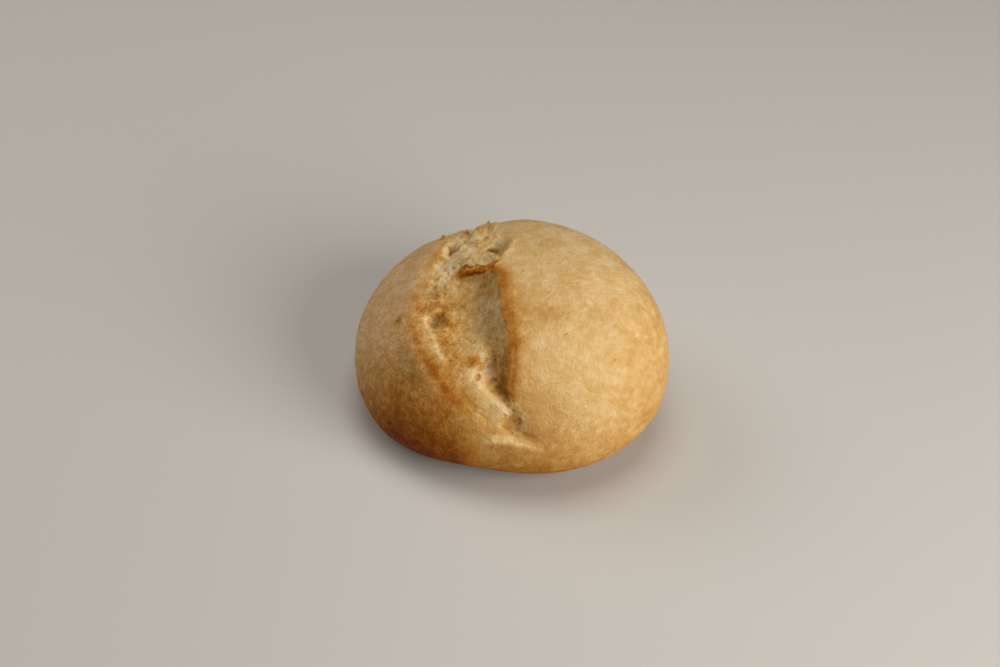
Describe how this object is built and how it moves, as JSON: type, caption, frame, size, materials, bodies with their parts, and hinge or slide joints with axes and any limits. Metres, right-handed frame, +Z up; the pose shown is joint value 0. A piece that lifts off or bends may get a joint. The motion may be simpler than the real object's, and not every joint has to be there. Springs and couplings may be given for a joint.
{
  "type": "bread roll",
  "caption": "Round white bread roll with a pale golden crust, slashed once over the top so that the crumb shows in a torn, one-sided pocket.",
  "frame": {"origin": "middle of the roll's box at the level of the flat heel that it stands on", "axes": "+Z up; +X across the slash, towards the larger lobe, and the roll's longest way; +Y from the front end of the slash to its back end"},
  "size_m": [0.0926, 0.0841, 0.0531],
  "materials": {
    "crust": "matte"
  },
  "bodies": {
    "root": {"roll": "crust"}
  },
  "joints": []
}
